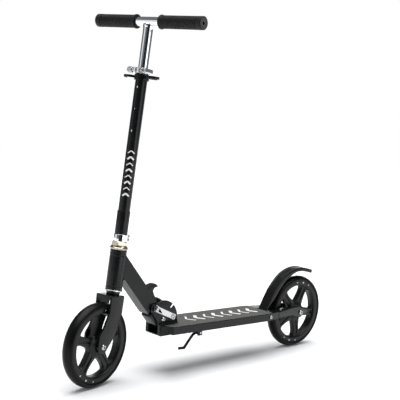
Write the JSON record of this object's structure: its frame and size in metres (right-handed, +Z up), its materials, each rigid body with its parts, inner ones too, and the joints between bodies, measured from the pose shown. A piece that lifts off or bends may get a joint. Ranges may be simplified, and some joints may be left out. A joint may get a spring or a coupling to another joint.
{
  "type": "kick scooter",
  "caption": "Folding kick scooter with large wheels, a narrow deck, a fender foot brake, a side stand, a quick-release folding neck and a height-adjustable T-bar.",
  "frame": {"origin": "middle of the footprint box, on the ground under the scooter", "axes": "+X forward along the deck, +Y to the rider's left, +Z up; the front wheel and T-bar stand turned 11.43 degrees to the left"},
  "size_m": [0.8944, 0.311, 0.865],
  "materials": {
    "black_paint": "satin black powder coat",
    "black_plastic": "matte moulded black",
    "tyre": "matte black cast polyurethane",
    "grip_rubber": "ribbed soft black",
    "grip_tape": "coarse grey grit",
    "chrome": "polished",
    "brassy_chrome": "polished, slightly warm",
    "steel": "bright zinc plated"
  },
  "bodies": {
    "deck_body": {"deck": "black_paint", "grip_tape": "grip_tape", "rear_arm_left": "black_paint", "rear_arm_right": "black_paint", "hinge_plate_left": "black_paint", "hinge_plate_right": "black_paint", "front_bracket": "black_paint", "pivot_bolt": "steel", "pivot_nut": "steel", "lock_skewer": "steel", "lock_nut": "steel", "fold_lever_pin": "steel", "rear_axle_bolt": "steel", "rear_axle_nut": "steel", "fender_pivot_bolt": "steel", "fender_pivot_nut": "steel", "fender_spring": "steel", "kickstand_bracket": "black_paint", "kickstand_pin": "steel"},
    "rear_wheel": {"rear_tyre": "tyre", "rear_rim": "black_plastic", "rear_bearing_left": "steel", "rear_bearing_right": "steel", "rear_bearing_sleeve": "steel"},
    "foot_brake": {"fender": "black_plastic"},
    "kickstand": {"kickstand_leg": "black_paint"},
    "fold_handle": {"fold_lever": "chrome"},
    "neck": {"neck_tube": "black_paint", "head_tube": "black_paint", "upper_bearing": "steel", "lower_bearing": "steel", "hook_pin": "steel"},
    "hook": {"release_hook": "black_paint"},
    "steering": {"fork": "black_paint", "fork_steerer": "steel", "crown_race": "chrome", "headset_dust_cap": "brassy_chrome", "headset_lock_nut": "brassy_chrome", "steerer_clamp": "chrome", "pinch_bolt_lower": "steel", "pinch_bolt_upper": "steel", "steering_tube": "black_paint", "tube_sleeve": "black_paint", "grip_holder": "black_plastic", "height_clamp": "chrome", "height_clamp_bolt": "steel", "height_clamp_nut": "steel", "front_axle_bolt": "steel", "front_axle_nut": "steel"},
    "front_wheel": {"front_tyre": "tyre", "front_rim": "black_plastic", "front_bearing_left": "steel", "front_bearing_right": "steel", "front_bearing_sleeve": "steel"},
    "clamp_handle": {"height_clamp_lever": "chrome"},
    "t_bar": {"handlebar": "chrome", "left_grip": "grip_rubber", "right_grip": "grip_rubber"},
    "button": {"height_button": "steel"}
  },
  "joints": [
    {"name": "rear_wheel_spin", "type": "hinge", "parent": "deck_body", "child": "rear_wheel", "pos_m": [-0.34721, 0, 0.1], "axis": [0, 1, 0], "continuous": true},
    {"name": "brake_press", "type": "hinge", "parent": "deck_body", "child": "foot_brake", "pos_m": [-0.19661, 0, 0.1095], "axis": [0, -1, 0], "range_deg": [0, 5], "stiffness_Nm_per_rad": 4, "springref_deg": -2.86},
    {"name": "kickstand_swing", "type": "hinge", "parent": "deck_body", "child": "kickstand", "pos_m": [0.04779, 0.03, 0.096], "axis": [0, 1, 0], "range_deg": [0, 52.5]},
    {"name": "fold_lever_swing", "type": "hinge", "parent": "deck_body", "child": "fold_handle", "pos_m": [0.18801, 0.0294, 0.17074], "axis": [0.4147, 0, -0.91], "range_deg": [0, 150]},
    {"name": "fold", "type": "hinge", "parent": "deck_body", "child": "neck", "pos_m": [0.15979, 0, 0.141], "axis": [0, -1, 0], "range_deg": [0, 84]},
    {"name": "hook_release", "type": "hinge", "parent": "neck", "child": "hook", "pos_m": [0.19869, 0, 0.2183], "axis": [0, 1, 0], "range_deg": [0, 12], "stiffness_Nm_per_rad": 0.6, "springref_deg": -5.73},
    {"name": "steer", "type": "hinge", "parent": "neck", "child": "steering", "pos_m": [0.29106, 0, 0.3], "axis": [-0.102, 0, 0.9948], "range_deg": [-101.43, 78.57]},
    {"name": "front_wheel_spin", "type": "hinge", "parent": "steering", "child": "front_wheel", "pos_m": [0.34908, 0.00754, 0.09993], "axis": [-0.1971, 0.9802, -0.0202], "continuous": true},
    {"name": "clamp_lever_swing", "type": "hinge", "parent": "steering", "child": "clamp_handle", "pos_m": [0.26248, 0.02004, 0.73395], "axis": [0.102, 0, -0.9948], "range_deg": [0, 100]},
    {"name": "bar_height", "type": "slide", "parent": "steering", "child": "t_bar", "axis": [-0.102, 0, 0.9948], "range_m": [-0.0509, 0.0509]},
    {"name": "button_press", "type": "slide", "parent": "t_bar", "child": "button", "axis": [0.9751, 0.1982, 0.1], "range_m": [0, 0.0024], "stiffness_N_per_m": 300}
  ]
}
